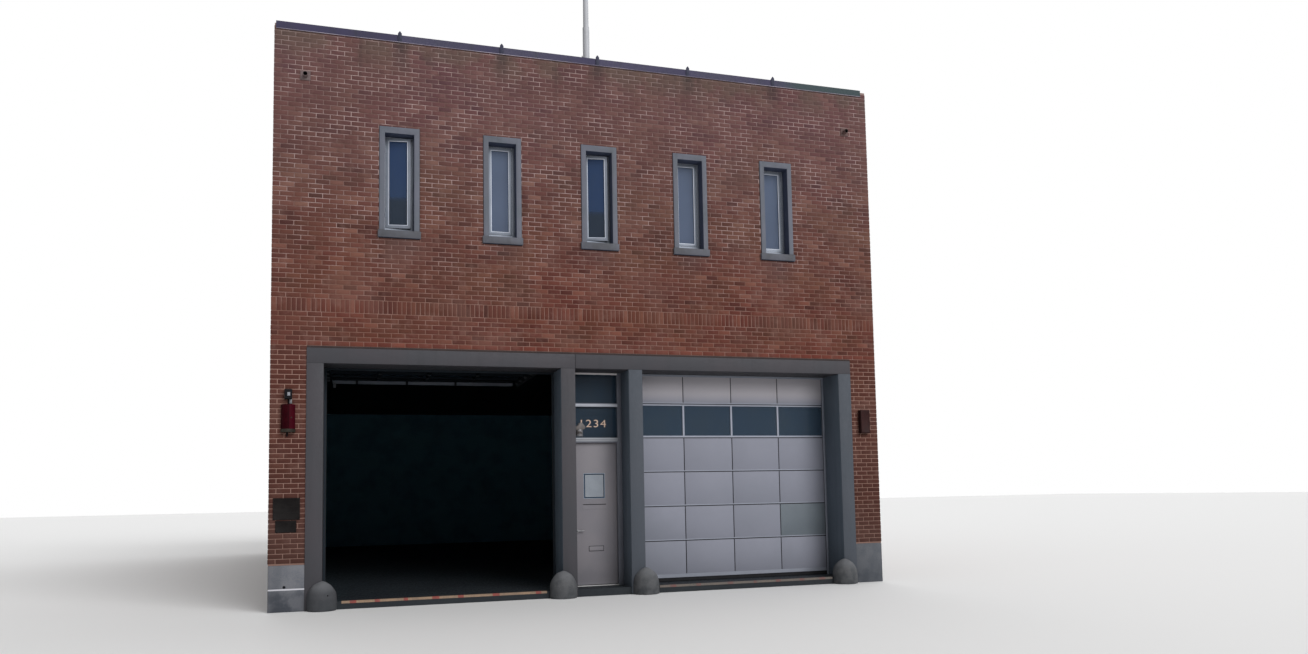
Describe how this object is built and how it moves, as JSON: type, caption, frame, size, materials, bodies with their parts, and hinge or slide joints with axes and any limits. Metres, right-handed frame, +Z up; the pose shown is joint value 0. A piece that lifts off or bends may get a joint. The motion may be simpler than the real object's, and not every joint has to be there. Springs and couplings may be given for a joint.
{
  "type": "fire station building",
  "caption": "Two-storey brick fire station with a grey portal, two sectional overhead doors, an entry door and a parapet roof with a flagpole.",
  "frame": {"origin": "centre of the plan at the lowest ground, on the underside of the ground slab", "axes": "+Z up, -Y towards the street front, +X to the right of someone who faces the front, +Y along the building's depth to the rear"},
  "size_m": [10.496, 18.5799, 14.607],
  "materials": {
    "brick": "running bond brick with light mortar",
    "concrete": "cast concrete",
    "floor_concrete": "worn concrete floor",
    "portal_paint": "dark grey masonry paint",
    "roof_felt": "mineral roofing",
    "coping_metal": "dark weathered sheet metal",
    "surround_paint": "grey painted surround",
    "window_aluminium": "light satin aluminium",
    "window_glass": "blue grey glass",
    "door_aluminium": "satin light grey",
    "door_panel": "light grey flush panel",
    "door_glass": "dark blue grey glass",
    "galvanised_steel": "galvanised",
    "seal_rubber": "black rubber",
    "entry_frame_paint": "grey frame",
    "entry_glass": "dark glass",
    "entry_leaf_paint": "light grey painted door",
    "door_steel": "satin steel",
    "threshold_metal": "worn aluminium",
    "lamp_black": "black enamel",
    "alarm_red": "wine red enamel",
    "box_brown": "dark red brown enamel",
    "pipe_metal": "weathered painted pipe",
    "post_lamp_metal": "bronze grey",
    "pole_paint": "light grey paint"
  },
  "bodies": {
    "building": {"front_wall": "brick", "left_pier": "brick", "right_pier": "brick", "plinths": "concrete", "left_party_wall": "brick", "right_party_wall": "brick", "rear_wall": "brick", "ground_slab": "floor_concrete", "upper_floor_slab": "floor_concrete", "roof_slab": "floor_concrete", "roof_membrane": "roof_felt", "coping_front": "coping_metal", "coping_rear": "coping_metal", "coping_sides": "coping_metal", "portal_lintel": "portal_paint", "portal_left_jamb": "portal_paint", "portal_left_post": "portal_paint", "portal_right_post": "portal_paint", "portal_right_jamb": "portal_paint", "window_surrounds": "surround_paint", "window_frames": "window_aluminium", "window_sashes": "window_aluminium", "window_glass": "window_glass", "window_barrels": "window_aluminium", "left_door_sections": "door_aluminium", "left_door_panels": "door_panel", "right_door_sections": "door_aluminium", "right_door_panels": "door_panel", "bay_door_glass": "door_glass", "bay_door_seals": "seal_rubber", "bay_door_hinges": "galvanised_steel", "bay_door_tracks": "galvanised_steel", "bay_door_shafts": "galvanised_steel", "entry_frame": "entry_frame_paint", "transom_glass": "entry_glass", "entry_threshold": "threshold_metal", "entry_frame_hinges": "door_steel", "wheel_guards": "concrete", "pier_lamp": "lamp_black", "alarm_housing": "alarm_red", "right_pier_box": "box_brown", "overflow_pipes": "pipe_metal", "post_lamp": "post_lamp_metal", "flagpole": "pole_paint"},
    "entry_door": {"entry_door_leaf": "entry_leaf_paint", "entry_leaf_hinges": "door_steel", "entry_levers": "door_steel", "mail_slot": "door_steel"}
  },
  "joints": [
    {"name": "entry_door_swing", "type": "hinge", "parent": "building", "child": "entry_door", "pos_m": [0.3925, -8.541, 1.365], "axis": [0, 0, -1], "range_deg": [0, 90]}
  ]
}
